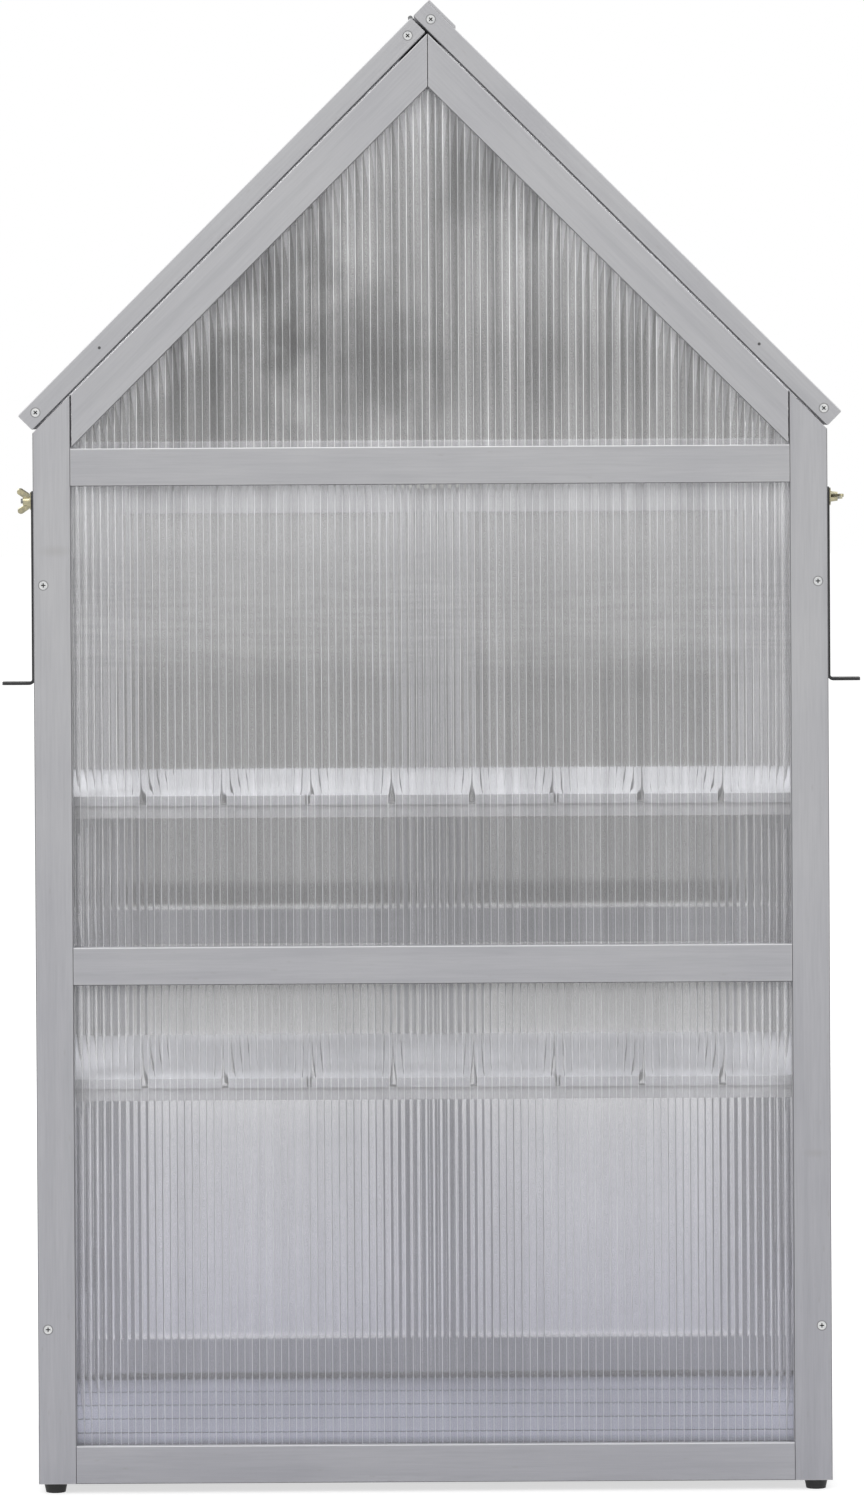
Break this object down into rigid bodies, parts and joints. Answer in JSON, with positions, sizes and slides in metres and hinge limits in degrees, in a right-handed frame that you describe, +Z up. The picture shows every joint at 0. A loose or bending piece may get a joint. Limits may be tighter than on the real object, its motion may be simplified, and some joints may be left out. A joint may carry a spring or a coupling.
{
  "type": "mini greenhouse",
  "caption": "Upright gable-roofed mini greenhouse of painted timber and fluted clear sheet, with lifting roof flaps, roof stays, double doors, a boarded floor and slatted shelves.",
  "frame": {"origin": "on the ground, in the middle of the overall box", "axes": "+Z up, +X along the gable from left to right seen from behind, +Y out through the doors"},
  "size_m": [0.868, 0.5, 1.5031],
  "materials": {
    "grey_paint": "satin grey paint on planed fir",
    "shelf_paint": "satin grey paint on fir slats",
    "twin_wall_sheet": "clear fluted twin-wall polycarbonate",
    "zinc_steel": "zinc-plated steel",
    "yellow_zinc": "yellow passivated zinc",
    "black_steel": "black powder coat",
    "foot_plastic": "black moulded plastic",
    "catch_plastic": "pale moulded plastic"
  },
  "bodies": {
    "house": {"back_left_post": "grey_paint", "back_right_post": "grey_paint", "front_left_post": "grey_paint", "front_right_post": "grey_paint", "frame_screws": "zinc_steel", "back_bottom_rail": "grey_paint", "back_middle_rail": "grey_paint", "back_eaves_rail": "grey_paint", "front_bottom_rail": "grey_paint", "front_eaves_rail": "grey_paint", "back_rafters": "grey_paint", "front_rafters": "grey_paint", "back_wall_sheets": "twin_wall_sheet", "back_gable_sheet": "twin_wall_sheet", "front_gable_sheet": "twin_wall_sheet", "side_stiles": "grey_paint", "side_rails": "grey_paint", "side_sheets": "twin_wall_sheet", "ridge_beam": "grey_paint", "ridge_hinge_leaves": "zinc_steel", "ridge_hinge_pins": "zinc_steel", "door_hinge_post_leaves": "zinc_steel", "door_hinge_pins": "zinc_steel", "magnetic_catch": "catch_plastic", "floor_boards": "shelf_paint", "floor_bearers": "shelf_paint", "lower_shelf_slats": "shelf_paint", "upper_shelf_slats": "shelf_paint", "shelf_battens": "shelf_paint", "shelf_cleats": "shelf_paint", "feet": "foot_plastic", "stay_bolts": "zinc_steel", "stay_washers": "yellow_zinc"},
    "left_flap": {"left_flap_stiles": "grey_paint", "left_flap_cross_rails": "grey_paint", "left_flap_sheet": "twin_wall_sheet", "left_flap_screws": "zinc_steel", "left_flap_hinge_leaves": "zinc_steel"},
    "right_flap": {"right_flap_stiles": "grey_paint", "right_flap_cross_rails": "grey_paint", "right_flap_sheet": "twin_wall_sheet", "right_flap_screws": "zinc_steel", "right_flap_hinge_leaves": "zinc_steel", "ridge_strip": "grey_paint"},
    "left_door": {"left_door_stiles": "grey_paint", "left_door_rails": "grey_paint", "left_door_sheets": "twin_wall_sheet", "left_door_hinge_leaves": "zinc_steel", "left_door_knob": "grey_paint", "left_door_strike_plate": "zinc_steel"},
    "right_door": {"right_door_stiles": "grey_paint", "right_door_rails": "grey_paint", "right_door_sheets": "twin_wall_sheet", "right_door_hinge_leaves": "zinc_steel", "right_door_knob": "grey_paint", "right_door_strike_plate": "zinc_steel"},
    "left_stay": {"left_stay": "black_steel"},
    "right_stay": {"right_stay": "black_steel"},
    "left_wing_nut": {"left_wing_nut": "yellow_zinc"},
    "right_wing_nut": {"right_wing_nut": "yellow_zinc"}
  },
  "joints": [
    {"name": "left_flap_lift", "type": "hinge", "parent": "house", "child": "left_flap", "pos_m": [-0.01732, -0.01, 1.48848], "axis": [0, 1, 0], "range_deg": [0, 80]},
    {"name": "right_flap_lift", "type": "hinge", "parent": "house", "child": "right_flap", "pos_m": [-0.01732, -0.01, 1.48848], "axis": [0, -1, 0], "range_deg": [0, 80]},
    {"name": "left_door_swing", "type": "hinge", "parent": "house", "child": "left_door", "pos_m": [-0.361, 0.2325, 0.532], "axis": [0, 0, 1], "range_deg": [0, 170]},
    {"name": "right_door_swing", "type": "hinge", "parent": "house", "child": "right_door", "pos_m": [0.361, 0.2325, 0.532], "axis": [0, 0, -1], "range_deg": [0, 170]},
    {"name": "left_stay_swing", "type": "hinge", "parent": "house", "child": "left_stay", "pos_m": [-0.4023, -0.21, 1.00074], "axis": [1, 0, 0], "range_deg": [-105, 105]},
    {"name": "right_stay_swing", "type": "hinge", "parent": "house", "child": "right_stay", "pos_m": [0.4023, -0.21, 1.00074], "axis": [1, 0, 0], "range_deg": [-105, 105]},
    {"name": "left_wing_nut_turn", "type": "hinge", "parent": "house", "child": "left_wing_nut", "pos_m": [-0.4095, -0.21, 1.00074], "axis": [1, 0, 0], "continuous": true},
    {"name": "right_wing_nut_turn", "type": "hinge", "parent": "house", "child": "right_wing_nut", "pos_m": [0.4095, -0.21, 1.00074], "axis": [1, 0, 0], "continuous": true}
  ]
}
